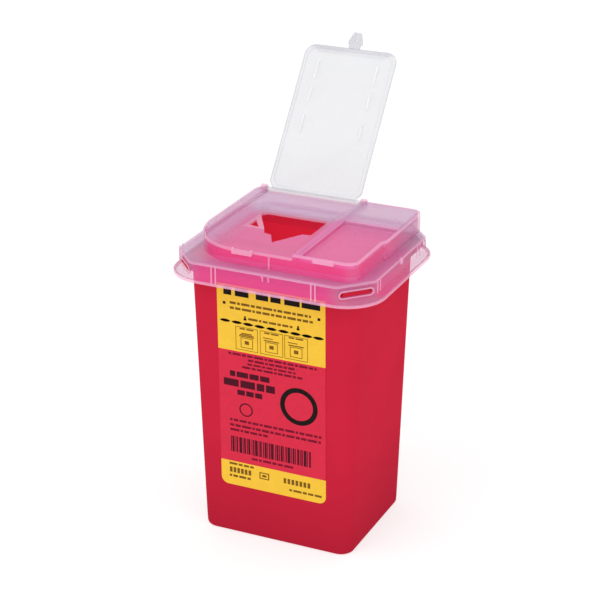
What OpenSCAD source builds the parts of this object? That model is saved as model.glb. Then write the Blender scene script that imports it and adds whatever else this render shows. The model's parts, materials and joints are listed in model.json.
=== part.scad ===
// Sharps container: a tapered red bin, a press-on milky lid with a funnel and a
// needle unwinder, and a hinged flap. Bottom centre at the origin, label side
// facing -Y, flap drawn open against its back stop. Millimetres.

/* [Container] */
// Width of the container at its floor
base_w = 84.1; // [82:0.1:86]
// Depth of the container at its floor
base_d = 71; // [69:0.1:72]
// Width of the container at its mouth
mouth_w = 92.8; // [90:0.1:93]
// Depth of the container at its mouth
mouth_d = 76.8; // [74:0.1:77]
// Height of the container's mouth
mouth_z = 153.3; // [152:0.1:153.5]
// Radius of the container's upright corners
bin_r = 7.6; // [6:0.1:10]
// Thickness of the container's walls
bin_wall = 1.5; // [1.2:0.1:2]
// Thickness of the container's floor
floor_t = 1.8; // [1.5:0.1:2.5]

/* [Lid] */
// Width over the rim of the lid
rim_w = 114.1; // [113.5:0.1:115]
// Depth over the rim of the lid
rim_d = 97.5; // [97.3:0.1:98.5]
// Corner radius of the rim
rim_r = 20.7; // [18:0.1:22]
// Height of the rim's lower edge
rim_z = 143.8; // [143:0.1:145]
// Height of the ledge round the deck
ledge_z = 155.2; // [154.8:0.1:156]
// Height of the deck
deck_z = 165.1; // [164.8:0.1:166]
// Wall thickness of the lid
lid_wall = 1.3; // [1.1:0.1:1.5]

/* [Opening] */
// Depth of the funnel's floor below the flap's seat
funnel_depth = 3.5; // [3:0.1:4]
// Depth of the shallow panel at the right of the deck
panel_depth = 2.3; // [1.5:0.1:2.6]

/* [Flap] */
// Width of the flap
flap_w = 53; // [52:0.1:53.2]
// Length of the flap from the hinge to its free edge
flap_len = 83.6; // [80:0.1:84]
// Angle that the open flap leans back past upright
flap_lean = 37.2; // [10:0.1:45]
// Radius of the flap's hinge pins
pin_r = 1.1; // [1:0.05:1.2]
// Gap between a pin and its knuckle, on the radius
pin_gap = 0.06; // [0.02:0.01:0.1]

/* [Label] */
// Width of the front label
label_w = 59.4; // [50:0.2:64]
// Height of the label's lower edge
label_z0 = 28.6; // [20:0.1:40]
// Height of the label's upper edge
label_z1 = 142; // [120:0.5:143]

/* [Hidden] */

milky = [0.86, 0.72, 0.82];
clear_milky = [0.94, 0.95, 0.97];
red = [0.78, 0.11, 0.2];
yellow = [0.96, 0.77, 0.22];

arc = 32;
thin = 0.02;

// container
foot_step = 2.2;
foot_inset = 1.6;
bin_slope_x = (mouth_w - base_w) / 2 / mouth_z;
bin_slope_y = (mouth_d - base_d) / 2 / mouth_z;
flange_z0 = 149.2;
flange_t = 1.5;

// lid outline below the deck
ledge_hx = 53.9;
ledge_hy = 48.4;
ledge_r = 2.5;
cut_x = 38.6;
cut_y = 32.1;
ledge_t = 1.3;
foot_z = 148;
bead_h = 1.6;
bead_t = 1.6;
rim_lip = 0.4;
plug_t = 1.2;
plug_in = bin_wall + 0.45;

// corner slots, on the cut corners
slot_angle = atan2(ledge_hx - ledge_r - cut_x, ledge_hy - ledge_r - cut_y);
slot_out = cut_x * cos(slot_angle) + (ledge_hy - ledge_r) * sin(slot_angle) + ledge_r;
slot_len = 17.4;
slot_h = 2.8;
slot_z = 150.2;
slot_shift = [2, 0.3];
slot_rim_t = 0.8;
slot_rim_out = 0.5;
lug_w = 14;
lug_h = 2;

// deck
deck_x0 = -45.7;
deck_x1 = 46.7;
deck_y0 = -42;
deck_y1 = 43.3;
deck_step = 1.7;
deck_step_y = -6;
deck_r = 6;
deck_sweep_r = 28;
top_t = 1.2;

// flap seat, ridge and panel
seat_x0 = -40.4;
seat_x1 = 13.4;
seat_z = deck_z - 2.1;
ridge_x1 = 17.4;
block_y = 12.5;
panel_z = deck_z - panel_depth;

// funnel
mouth_x0 = -38.8;
mouth_x1 = 11.5;
mouth_y0 = -37;
mouth_y1 = 36.5;
mouth_cut = [-27.2, -27.2];
mouth_bend = [-33.8, -33];
well_x0 = -33;
well_x1 = 4.8;
well_y0 = -20;
well_y1 = 20.5;
well_z = seat_z - funnel_depth;
opening = [
    [-31.5, 16], [-31.5, 18.5], [-29.5, 20.5], [4.8, 20.5], [4.8, -0.8], [0.2, -1.6],
    [-9, -18], [-14, -8.5], [-18.2, -7.6], [-20.5, -3], [-21.5, -0.8]
];
unwinder_seat = [[-32.6, -3], [-20.5, -3], [-21.5, -0.8], [-31.5, 16], [-32.6, 16]];
notch = [[-31.2, 0.9], [-30.6, 8.6], [-24.6, -0.5]];
tooth_n = 7;
tooth_h = 0.6;

// hinge and flap
hinge_y = 42.2;
hinge_z = deck_z - 0.9;
knuckle_r = 2.2;
knuckle_w = 3;
knuckle_x = [seat_x0 - 0.2 - knuckle_w, seat_x1 + 0.3];
knuckle_foot_z = deck_z - 3.2;
trough_r = pin_r + 0.5;
flap_mid = (seat_x0 + seat_x1) / 2;
flap_r = 6;
flap_front = -0.6;
flap_back = 0.4;
flap_under = 0.9;
flap_rim_w = 2.2;
flap_cut_x = 2.5;
flap_cut_y = 4.5;
heel_y = 0.9;
rib_x = 17;
rib_w = 0.9;
rib_h = 0.5;
rib_runs = [[33, 43], [50, 60], [64, 75]];
latch_x = 0.8;
latch_len = 9.2;
latch_w = 7.8;
latch_neck = 6.2;

// four thin posts at the corners of a rounded rectangle
module slab(w, d, r, z, t = thin) {
    for (sx = [-1, 1])
        for (sy = [-1, 1])
            translate([sx * (w / 2 - r), sy * (d / 2 - r), z])
                cylinder(r = r, h = t, $fn = arc);
}

// thin posts round the lid's outline with its cut corners
module cut_slab(inset, z, t = thin) {
    for (sx = [-1, 1])
        for (sy = [-1, 1]) {
            translate([sx * cut_x, sy * (ledge_hy - ledge_r), z])
                cylinder(r = ledge_r - inset, h = t, $fn = arc);
            translate([sx * (ledge_hx - ledge_r), sy * cut_y, z])
                cylinder(r = ledge_r - inset, h = t, $fn = arc);
        }
}

// children placed on each of the lid's four cut corners, +X facing out
module at_cut_corners() {
    for (sx = [0, 1])
        for (sy = [0, 1])
            mirror([sx, 0, 0])
                mirror([0, sy, 0])
                    rotate([0, 0, slot_angle])
                        translate([slot_out, -slot_shift[sx], slot_z])
                            children();
}

// flat-ended slot shape, round at both ends, along X
module obround(len, h, t) {
    rotate([0, 90, 0])
        linear_extrude(t) {
            square([h, len - h], center = true);
            for (s = [-1, 1])
                translate([0, s * (len - h) / 2])
                    circle(d = h, $fn = 48);
        }
}

// deck outline: one long sweep at the front left, small corners elsewhere
module deck_outline(inset) {
    hull() {
        translate([deck_x0 + deck_sweep_r, deck_y0 + deck_sweep_r])
            circle(r = deck_sweep_r - inset, $fn = 64);
        for (c = [[deck_x1 - deck_r, deck_y0 + deck_r], [deck_x1 - deck_r, deck_y1 - deck_r],
                [deck_x0 + deck_r, deck_y1 - deck_r]])
            translate(c)
                circle(r = deck_r - inset, $fn = arc);
    }
    hull()
        for (y = [deck_step_y + 2, deck_y1 - deck_r])
            translate([deck_x1 + deck_step - deck_r, y])
                circle(r = deck_r - inset, $fn = arc);
}

// a tapered bin shape from z0 to the mouth, inset from the outside
module bin_solid(inset, z0, top_extra) {
    w0 = base_w + 2 * (bin_slope_x * z0 - inset);
    d0 = base_d + 2 * (bin_slope_y * z0 - inset);
    r0 = bin_r - inset;
    hull() {
        slab(w0 - 2 * foot_inset, d0 - 2 * foot_inset, r0 - foot_inset, z0);
        slab(w0 - foot_inset / 2, d0 - foot_inset / 2, r0 - foot_inset / 4, z0 + foot_step / 2);
        slab(w0, d0, r0, z0 + foot_step);
        slab(mouth_w - 2 * inset, mouth_d - 2 * inset, r0, mouth_z - thin + top_extra);
    }
}

module container_bin() {
    color(red)
        difference() {
            bin_solid(0, 0, 0);
            bin_solid(bin_wall, floor_t, 1);
        }
}

module container_rim() {
    gap = lid_wall + 0.6;
    color(red)
        translate([0, 0, flange_z0])
            difference() {
                linear_extrude(flange_t)
                    hull()
                        for (sx = [-1, 1])
                            for (sy = [-1, 1]) {
                                translate([sx * cut_x, sy * (ledge_hy - ledge_r)])
                                    circle(r = ledge_r - gap, $fn = arc);
                                translate([sx * (ledge_hx - ledge_r), sy * cut_y])
                                    circle(r = ledge_r - gap, $fn = arc);
                            }
                translate([0, 0, -flange_z0])
                    bin_solid(0, 0, 0);
            }
}

module snap_lugs() {
    gap = lid_wall + 0.6;
    color(red)
        at_cut_corners()
            translate([-gap, -lug_w / 2, flange_z0 - slot_z])
                cube([gap - 0.2, lug_w, lug_h]);
}

module front_label() {
    label_t = 0.25;
    label_r = 4;
    lean = atan(bin_slope_y);
    color(yellow)
        translate([-0.2, -base_d / 2, 0])
            rotate([90 + lean, 0, 0])
                translate([0, label_z0, 0.01])
                    linear_extrude(label_t) {
                        translate([-label_w / 2, label_r])
                            square([label_w, label_z1 - label_z0 - label_r]);
                        translate([label_r - label_w / 2, 0])
                            square([label_w - 2 * label_r, label_r]);
                        for (s = [-1, 1])
                            translate([s * (label_w / 2 - label_r), label_r])
                                circle(r = label_r, $fn = 48);
                    }
}

module lid_skirt() {
    low = rim_z + bead_h;
    top = ledge_z - ledge_t;
    color(milky)
        difference() {
            union() {
                hull() {
                    cut_slab(0, foot_z);
                    cut_slab(0, top - thin);
                }
                hull() {
                    cut_slab(0, foot_z);
                    slab(rim_w - 2 * rim_lip, rim_d - 2 * rim_lip, rim_r - rim_lip, low);
                }
            }
            hull() {
                cut_slab(lid_wall, foot_z - 0.5);
                cut_slab(lid_wall, top + 1);
            }
            hull() {
                cut_slab(lid_wall, foot_z - 0.5);
                slab(rim_w - 2 * rim_lip - 2 * lid_wall, rim_d - 2 * rim_lip - 2 * lid_wall,
                    rim_r - rim_lip - lid_wall, low - 1);
            }
            at_cut_corners()
                translate([-4, 0, 0])
                    obround(slot_len, slot_h, 8);
        }
}

module lid_rim_bead() {
    color(milky)
        translate([0, 0, rim_z])
            difference() {
                hull()
                    slab(rim_w, rim_d, rim_r, 0, bead_h);
                translate([0, 0, -1])
                    hull()
                        slab(rim_w - 2 * bead_t, rim_d - 2 * bead_t, rim_r - bead_t, 0, bead_h + 2);
            }
}

module slot_rims() {
    color(milky)
        at_cut_corners()
            difference() {
                obround(slot_len + 2 * slot_rim_t, slot_h + 2 * slot_rim_t, slot_rim_out);
                translate([-1, 0, 0])
                    obround(slot_len, slot_h, slot_rim_out + 2);
            }
}

module skirt_ribs() {
    rib_out = 0.35;
    rib_t = 0.8;
    rib_foot = rim_z + bead_h;
    color(milky) {
        for (x = [-27.5, -25.2, 26.4, 28.6])
            translate([x - rib_t / 2, -ledge_hy - rib_out, rib_foot])
                cube([rib_t, rib_out, ledge_z - rib_foot]);
        for (s = [-1, 1])
            for (y = [-31.4, -28, 20.4, 23.8])
                translate([s * (ledge_hx + rib_out / 2) - rib_out / 2, y - rib_t / 2, foot_z])
                    cube([rib_out, rib_t, ledge_z - foot_z]);
    }
}

module side_bosses() {
    boss_r = 1.7;
    boss_h = 1;
    color(milky)
        for (s = [0, 1])
            mirror([s, 0, 0])
                translate([ledge_hx, -2.5, ledge_z - 0.8])
                    rotate([0, 90, 0])
                        cylinder(r = boss_r, h = boss_h, $fn = 48);
}

// plug that seals inside the bin's mouth, solid across its ring
module plug_solid(inset, z, h) {
    hull()
        slab(mouth_w - 2 * (plug_in + inset), mouth_d - 2 * (plug_in + inset),
            bin_r - plug_in - inset, z, h);
}

module lid_ledge() {
    color(milky)
        difference() {
            hull()
                cut_slab(0, ledge_z - ledge_t, ledge_t);
            intersection() {
                plug_solid(plug_t, ledge_z - ledge_t - 1, ledge_t + 2);
                translate([0, 0, ledge_z - ledge_t - 1])
                    linear_extrude(ledge_t + 2)
                        deck_outline(lid_wall);
            }
        }
}

module lid_plug() {
    plug_h = 6;
    color(milky)
        difference() {
            plug_solid(0, ledge_z - ledge_t - plug_h, plug_h);
            plug_solid(plug_t, ledge_z - ledge_t - plug_h - 1, plug_h + 2);
        }
}

// room for the flap's pins and edge, from knuckle to knuckle
module hinge_trough() {
    translate([knuckle_x[0] + 1, hinge_y, hinge_z])
        rotate([0, 90, 0])
            cylinder(r = trough_r, h = knuckle_x[1] - knuckle_x[0], $fn = 48);
}

// room for the knuckles in the deck below them
module knuckle_room() {
    for (x = knuckle_x)
        translate([x, hinge_y - knuckle_r, knuckle_foot_z])
            cube([knuckle_w, 2 * knuckle_r, 6]);
}

module flap_seat() {
    translate([seat_x0, -60, seat_z])
        cube([seat_x1 - seat_x0, 120, 4]);
}

module deck_wall() {
    color(milky)
        difference() {
            translate([0, 0, ledge_z])
                linear_extrude(deck_z - ledge_z)
                    difference() {
                        deck_outline(0);
                        deck_outline(lid_wall);
                    }
            flap_seat();
            hinge_trough();
            knuckle_room();
        }
}

module deck_border() {
    color(milky)
        difference() {
            translate([0, 0, seat_z - top_t])
                linear_extrude(deck_z - seat_z + top_t)
                    intersection() {
                        deck_outline(lid_wall);
                        translate([-60, -60])
                            square([60 + seat_x0, 120]);
                    }
            translate([-60, -60, seat_z - top_t - 1])
                cube([60 + seat_x0 - lid_wall, 120, deck_z - seat_z + 1]);
            hinge_trough();
            knuckle_room();
        }
}

// funnel's mouth, its front left corner cut to follow the deck's long sweep
module funnel_mouth(extra) {
    polygon([
        [mouth_x0 - extra, mouth_y1 + extra], [mouth_x0 - extra, mouth_cut[1]],
        mouth_bend - [extra, extra] * 0.7, [mouth_cut[0], mouth_y0 - extra],
        [mouth_x1 + extra, mouth_y0 - extra], [mouth_x1 + extra, mouth_y1 + extra]
    ]);
}

module funnel_tray() {
    color(milky)
        difference() {
            union() {
                translate([0, 0, seat_z - top_t])
                    linear_extrude(top_t)
                        intersection() {
                            deck_outline(lid_wall);
                            translate([seat_x0, -60])
                                square([seat_x1 - seat_x0, 120]);
                        }
                hull() {
                    translate([0, 0, seat_z - top_t])
                        linear_extrude(thin)
                            funnel_mouth(0.8);
                    translate([well_x0 - 0.8, well_y0 - 1, well_z - top_t])
                        cube([well_x1 - well_x0 + 1.6, well_y1 - well_y0 + 2, thin]);
                }
            }
            hull() {
                translate([0, 0, seat_z])
                    linear_extrude(thin)
                        funnel_mouth(0);
                translate([well_x0, well_y0, well_z])
                    cube([well_x1 - well_x0, well_y1 - well_y0, thin]);
            }
            translate([0, 0, well_z - 3])
                linear_extrude(6) {
                    polygon(opening);
                    polygon(unwinder_seat);
                }
            hinge_trough();
        }
}

// bar across the opening's corner with a saw-toothed notch, for twisting needles off
module needle_unwinder() {
    run = notch[0] - notch[2];
    teeth = [
        for (i = [1 : 2 * tooth_n - 1])
            notch[2] + run * i / (2 * tooth_n) - [0, (i % 2) * tooth_h]
    ];
    color(milky)
        translate([0, 0, well_z - top_t])
            linear_extrude(top_t)
                difference() {
                    polygon(unwinder_seat);
                    polygon(concat([notch[2]], teeth, [notch[0], notch[1]]));
                }
}

module deck_ridge() {
    color(milky)
        difference() {
            translate([0, 0, panel_z - top_t])
                linear_extrude(deck_z - panel_z + top_t)
                    intersection() {
                        deck_outline(lid_wall);
                        translate([seat_x1, -60])
                            square([ridge_x1 - seat_x1, 120]);
                    }
            translate([seat_x1 + lid_wall, -60, panel_z - top_t - 1])
                cube([ridge_x1 - seat_x1 - 2 * lid_wall, 120, deck_z - panel_z + 1]);
            hinge_trough();
            knuckle_room();
        }
}

module deck_panel() {
    color(milky)
        translate([0, 0, panel_z - top_t])
            linear_extrude(top_t)
                intersection() {
                    deck_outline(lid_wall);
                    translate([ridge_x1, -60])
                        square([60, 60 + block_y]);
                }
}

module deck_block() {
    color(milky)
        difference() {
            translate([0, 0, panel_z - top_t])
                linear_extrude(deck_z - panel_z + top_t)
                    intersection() {
                        deck_outline(lid_wall);
                        translate([ridge_x1, block_y])
                            square([60, 60]);
                    }
            translate([ridge_x1 - 1, block_y + lid_wall, panel_z - top_t - 1])
                cube([60, 60, deck_z - panel_z + 1]);
        }
}

// two lips on the deck's front edge, the left one notched for the latch
module front_lips() {
    lip_w = 11;
    lip_out = 1.6;
    lip_h = 1.9;
    lip_x = [-18.9, 24.8];
    cheek_w = 1;
    cheek_h = 1.2;
    color(milky) {
        translate([lip_x[0], deck_y0 - lip_out, seat_z - 0.1 - lip_h])
            cube([lip_w, lip_out, lip_h]);
        for (side = [0, lip_w - cheek_w])
            translate([lip_x[0] + side, deck_y0 - lip_out, seat_z - 0.1])
                cube([cheek_w, lip_out, cheek_h]);
        translate([lip_x[1], deck_y0 - lip_out, deck_z - 0.1 - lip_h])
            cube([lip_w, lip_out, lip_h]);
    }
}

module hinge_knuckles() {
    color(milky)
        for (x = knuckle_x)
            difference() {
                union() {
                    translate([x, hinge_y, hinge_z])
                        rotate([0, 90, 0])
                            cylinder(r = knuckle_r, h = knuckle_w, $fn = 64);
                    translate([x, hinge_y - knuckle_r, knuckle_foot_z])
                        cube([knuckle_w, 2 * knuckle_r, hinge_z - knuckle_foot_z]);
                }
                translate([x - 1, hinge_y, hinge_z])
                    rotate([0, 90, 0])
                        cylinder(r = pin_r + pin_gap, h = knuckle_w + 2, $fn = 64);
            }
}

// flap pieces are drawn flat, hinge on the X axis, underside up, then tilted open
module opened() {
    translate([flap_mid, hinge_y, hinge_z])
        rotate([90 - flap_lean, 0, 0])
            children();
}

module flap_outline(inset) {
    half = flap_w / 2 - inset;
    difference() {
        union() {
            translate([-half, inset])
                square([2 * half, flap_len - flap_r - inset]);
            translate([flap_r - flap_w / 2, inset])
                square([flap_w - 2 * flap_r, flap_len - 2 * inset]);
            for (s = [-1, 1])
                translate([s * (flap_w / 2 - flap_r), flap_len - flap_r])
                    circle(r = flap_r - inset, $fn = 64);
        }
        for (s = [0, 1])
            mirror([s, 0])
                polygon([
                    [flap_w / 2 - flap_cut_x - inset, -1], [flap_w, -1], [flap_w, flap_cut_y],
                    [flap_w / 2 - inset, flap_cut_y], [flap_w / 2 - flap_cut_x - inset, heel_y]
                ]);
    }
}

// the plate and the rod along its lower edge, whose ends are the hinge pins
module flap_panel() {
    pin_end = flap_w / 2 + knuckle_w;
    color(clear_milky)
        opened() {
            translate([0, 0, flap_front])
                linear_extrude(flap_back - flap_front)
                    flap_outline(0);
            translate([-pin_end, 0, 0])
                rotate([0, 90, 0])
                    cylinder(r = pin_r, h = 2 * pin_end, $fn = 64);
        }
}

module flap_rim() {
    color(clear_milky)
        opened()
            translate([0, 0, flap_back])
                linear_extrude(flap_under - flap_back)
                    difference() {
                        flap_outline(0);
                        flap_outline(flap_rim_w);
                        translate([-flap_w, -1])
                            square([2 * flap_w, 1 + flap_cut_y]);
                    }
}

module flap_ribs() {
    color(clear_milky)
        opened()
            for (s = [-1, 1])
                for (run = rib_runs)
                    translate([s * rib_x - rib_w / 2, run[0], flap_back])
                        cube([rib_w, run[1] - run[0], flap_under - flap_back + rib_h]);
}

module flap_latch() {
    slit = 0.8;
    barb_y = 2.4;
    barb_h = 1.8;
    tip_r = 0.95;
    tip_x = 1.35;
    color(clear_milky)
        opened()
            translate([latch_x, flap_len, flap_front])
                linear_extrude(flap_under - flap_front)
                    difference() {
                        union() {
                            translate([-latch_neck / 2, 0])
                                square([latch_neck, barb_y + 0.4]);
                            hull() {
                                translate([-latch_w / 2, barb_y])
                                    square([latch_w, barb_h]);
                                for (s = [-1, 1])
                                    translate([s * tip_x, latch_len - tip_r])
                                        circle(r = tip_r, $fn = arc);
                            }
                        }
                        translate([-slit / 2, barb_y + 1])
                            square([slit, latch_len]);
                    }
}

container_bin();
container_rim();
snap_lugs();
front_label();
lid_skirt();
lid_rim_bead();
slot_rims();
skirt_ribs();
side_bosses();
lid_ledge();
lid_plug();
deck_wall();
deck_border();
funnel_tray();
needle_unwinder();
deck_ridge();
deck_panel();
deck_block();
front_lips();
hinge_knuckles();
flap_panel();
flap_rim();
flap_ribs();
flap_latch();
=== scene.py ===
"""Sharps container: red tapered bin, milky press-on lid with a funnel, clear hinged flap, printed film."""

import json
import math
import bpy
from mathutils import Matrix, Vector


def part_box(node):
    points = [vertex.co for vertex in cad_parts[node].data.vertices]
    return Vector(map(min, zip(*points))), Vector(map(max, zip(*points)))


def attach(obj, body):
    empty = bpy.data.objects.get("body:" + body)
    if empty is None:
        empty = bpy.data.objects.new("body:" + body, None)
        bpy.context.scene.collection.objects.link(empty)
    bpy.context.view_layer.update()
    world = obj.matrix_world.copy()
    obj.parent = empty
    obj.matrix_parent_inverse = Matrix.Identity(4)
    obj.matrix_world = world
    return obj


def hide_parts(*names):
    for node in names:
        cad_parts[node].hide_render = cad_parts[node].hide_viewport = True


bl_info = {
    "name": "Sharps Container",
    "version": (1, 0, 0),
    "blender": (4, 5, 0),
    "location": "3D View > Sidebar > Sharps Container",
    "description": "Surfaces and finishes of a small sharps container round its packed frame",
    "category": "Object",
}

import bmesh
import bpy
import numpy as np
from bpy.props import FloatProperty, FloatVectorProperty, PointerProperty
from mathutils import Vector

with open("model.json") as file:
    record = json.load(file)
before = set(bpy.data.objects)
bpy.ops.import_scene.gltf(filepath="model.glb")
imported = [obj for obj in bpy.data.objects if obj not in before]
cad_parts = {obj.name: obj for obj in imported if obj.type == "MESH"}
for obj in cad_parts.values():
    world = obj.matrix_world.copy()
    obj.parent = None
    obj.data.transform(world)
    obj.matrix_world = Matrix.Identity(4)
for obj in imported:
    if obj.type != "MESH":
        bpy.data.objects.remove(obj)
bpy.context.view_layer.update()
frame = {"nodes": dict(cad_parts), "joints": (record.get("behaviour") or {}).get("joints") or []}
MM = 0.001

# The container, in millimetres
MOUTH_HX, MOUTH_HY, MOUTH_Z = np.array(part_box("container_bin")[1]) / MM
BASE_HX, BASE_HY = 42.05, 35.5
BIN_R, BIN_WALL, FLOOR_T = 7.6, 1.5, 1.8
SLOPE_X, SLOPE_Y = (MOUTH_HX - BASE_HX) / MOUTH_Z, (MOUTH_HY - BASE_HY) / MOUTH_Z

# The lid's outlines and levels
RIM_HX, RIM_HY, RIM_R = 57.05, 48.75, 20.7
RIM_Z, BEAD_TOP = 143.8, 145.4
LEDGE_HX, LEDGE_HY, LEDGE_R = 53.9, 48.4, 2.5
CUT_X, CUT_Y = 38.6, 32.1
FOOT_Z, LEDGE_Z, LEDGE_T, LID_WALL = 148.0, 155.2, 1.3, 1.3
CUT_ANGLE = math.degrees(math.atan2(LEDGE_HX - LEDGE_R - CUT_X, LEDGE_HY - LEDGE_R - CUT_Y))
SLOT_OUT = (
    CUT_X * math.cos(math.radians(CUT_ANGLE))
    + (LEDGE_HY - LEDGE_R) * math.sin(math.radians(CUT_ANGLE))
    + LEDGE_R
)
SLOT_LEN, SLOT_H, SLOT_Z = 17.4, 2.8, 150.2
SLOT_SHIFT = {1: 2.0, -1: 0.3}

# The deck
DECK_X0, DECK_X1, DECK_Y0, DECK_Y1 = -45.7, 46.7, -42.0, 43.3
DECK_STEP, STEP_Y, DECK_R, SWEEP_R = 1.7, -6.0, 6.0, 28.0
DECK_Z, SEAT_Z, PANEL_Z, TOP_T = 165.1, 163.0, 162.8, 1.2
SEAT_X0, SEAT_X1, RIDGE_X1, BLOCK_Y = -40.4, 13.4, 17.4, 12.5
# The panel's side before the deck's step. The outline stands upright there, and a column of points
# right on it could take either end, so it lies a hair inside.
PANEL_SIDE = DECK_X1 - LID_WALL - 0.03 - 1e-9
MOUTH = (-38.8, 11.5, -37.0, 36.5)
WELL = (-33.0, 4.8, -20.0, 20.5)
WELL_Z = 159.5
OPENING = [
    (-31.5, 16), (-31.5, 18.5), (-29.5, 20.5), (4.8, 20.5), (4.8, -0.8), (0.2, -1.6),
    (-9, -18), (-14, -8.5), (-18.2, -7.6), (-20.5, -3), (-32.6, -3), (-32.6, 16),
]

# The hinge and the flap
HINGE_X, HINGE_Y, HINGE_Z = (v / MM for v in frame["joints"][0]["pos_m"])
FLAP_LEAN, FLAP_HALF, FLAP_LEN, FLAP_R = 37.2, 26.5, 83.6, 6.0
FLAP_BACK, FLAP_FACE, FLAP_RIM = -0.6, 0.4, 0.9
ROD_HALF, PIN_R, TROUGH_R = 29.5, 1.1, 1.6

# The label: its shift to the left, the heights where its bands meet, and the printing's lower and
# upper faces over its back plane
LABEL_SHIFT, BAND_LOW, BAND_HIGH, BAND_BLUR = 0.2, 42.5, 106.0, 0.03
PRINT_LOW, PRINT_HIGH = 0.24, 0.285

# The stage, in metres but for the lens
CAMERA_PLACE, CAMERA_AIM = (0.38078, -0.82790, 0.50625), (-0.00147, -0.00068, 0.12295)
CAMERA_LENS = 115.58
LIGHT_AIM = (0, 0, 0.1)


# ---------------------------------------------------------------- outlines


def arcs(rows, inset=0.0, steps=9, fill=(0.02, 0.25, 0.5, 0.75, 0.98)):
    """Closed outline from arcs of (centre x, centre y, radius, first angle, last angle).
    Each arc is centre + (radius - inset) * (cos a, sin a) over its angles; between one arc's end
    and the next one's start lie straight points at the fractions in fill."""
    rows = np.array(rows, float)
    t = np.linspace(0, 1, steps)
    a = np.radians(rows[:, 3:4] + (rows[:, 4:5] - rows[:, 3:4]) * t)
    r = np.maximum(rows[:, 2:3] - inset, 0.01)
    bend = np.stack([rows[:, 0:1] + r * np.cos(a), rows[:, 1:2] + r * np.sin(a)], -1)
    end, start = bend[:, -1:], np.roll(bend[:, :1], -1, axis=0)
    f = np.array(fill)[None, :, None]
    return np.concatenate([bend, end + (start - end) * f], 1).reshape(-1, 2)


def box_arcs(hx, hy, r):
    """Arcs of a rounded rectangle, each corner in two halves."""
    corners = [(1, 1, 0), (-1, 1, 90), (-1, -1, 180), (1, -1, 270)]
    return [
        (sx * (hx - r), sy * (hy - r), r, a + h, a + h + 45)
        for sx, sy, a in corners
        for h in (0, 45)
    ]


def cut_arcs():
    """Arcs of the lid's outline, a rectangle with its four corners cut off."""
    near, far = (LEDGE_HX - LEDGE_R, CUT_Y), (CUT_X, LEDGE_HY - LEDGE_R)
    c = CUT_ANGLE
    return [
        (near[0], near[1], LEDGE_R, 0, c),
        (far[0], far[1], LEDGE_R, c, 90),
        (-far[0], far[1], LEDGE_R, 90, 180 - c),
        (-near[0], near[1], LEDGE_R, 180 - c, 180),
        (-near[0], -near[1], LEDGE_R, 180, 180 + c),
        (-far[0], -far[1], LEDGE_R, 180 + c, 270),
        (far[0], -far[1], LEDGE_R, 270, 360 - c),
        (near[0], -near[1], LEDGE_R, 360 - c, 360),
    ]


def deck_outline(inset=0.0, steps=20, straight=170):
    """The deck's outline: a long sweep at the front left, small corners, and a step on the right side."""
    right = DECK_X1 + DECK_STEP - DECK_R
    kink = math.degrees(math.acos((DECK_X1 - inset - right) / (DECK_R - inset)))
    rows = [
        (right, DECK_Y1 - DECK_R, DECK_R, 0, 90),
        (DECK_X0 + DECK_R, DECK_Y1 - DECK_R, DECK_R, 90, 180),
        (DECK_X0 + SWEEP_R, DECK_Y0 + SWEEP_R, SWEEP_R, 180, 270),
        (DECK_X1 - DECK_R, DECK_Y0 + DECK_R, DECK_R, 270, 360),
        (right, STEP_Y + 2, DECK_R, -kink, 0),
    ]
    return arcs(rows, inset, steps, np.linspace(0, 1, straight + 2)[1:-1])


def ease(width, n, first=0):
    """n distances from an edge, from width times 1 - sin(first) down to 0, closer and closer together."""
    return width * (1 - np.sin(np.radians(np.linspace(first, 90, n))))


def trough(y):
    """The lower half of a cylinder round the hinge: its axis height less sqrt(radius^2 - (y - axis)^2)."""
    return HINGE_Z - np.sqrt(np.clip(TROUGH_R**2 - (y - HINGE_Y) ** 2, 0, None))


def smooth(t):
    """0 below 0, 1 above 1, with an even S between them."""
    t = np.clip(t, 0, 1)
    return t * t * (3 - 2 * t)


# ------------------------------------------------------------------ meshes


def raised(outline, z):
    """An outline lifted to height z, which is one number or one for each point."""
    return np.column_stack([outline, np.broadcast_to(z, len(outline))])


def quads(m, n, wrap_m, wrap_n):
    """Vertex numbers of the quads between m rows of n points, rows and columns closed where asked."""
    i, j = np.meshgrid(np.arange(m if wrap_m else m - 1), np.arange(n if wrap_n else n - 1), indexing="ij")
    i, j = i.ravel(), j.ravel()
    i2, j2 = (i + 1) % m, (j + 1) % n
    return np.stack([i * n + j, i * n + j2, i2 * n + j2, i2 * n + j], 1)


def build(name, grids, sharp=32, open_sheet=False):
    """A mesh piece from grids of (points m x n x 3 in millimetres, rows closed, columns closed)."""
    points, faces, start = [], [], 0
    for grid, wrap_m, wrap_n in grids:
        m, n = grid.shape[:2]
        points.append(grid.reshape(-1, 3) * MM)
        faces.append(quads(m, n, wrap_m, wrap_n) + start)
        start += m * n
    mesh = bpy.data.meshes.new(name)
    mesh.from_pydata(np.concatenate(points).tolist(), [], np.concatenate(faces).tolist())
    tidy(mesh, sharp, open_sheet)
    piece = bpy.data.objects.new(name, mesh)
    bpy.context.scene.collection.objects.link(piece)
    return piece


def tidy(mesh, sharp=32, open_sheet=False):
    """Merges doubles, turns faces outwards and shades smooth up to an edge angle."""
    work = bmesh.new()
    work.from_mesh(mesh)
    bmesh.ops.remove_doubles(work, verts=work.verts, dist=2e-6)
    bmesh.ops.dissolve_degenerate(work, edges=work.edges, dist=1e-6)
    if not open_sheet:
        bmesh.ops.recalc_face_normals(work, faces=work.faces)
    work.to_mesh(mesh)
    work.free()
    mesh.polygons.foreach_set("use_smooth", np.ones(len(mesh.polygons), bool))
    mesh.set_sharp_from_angle(angle=math.radians(sharp))
    mesh.update()


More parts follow.
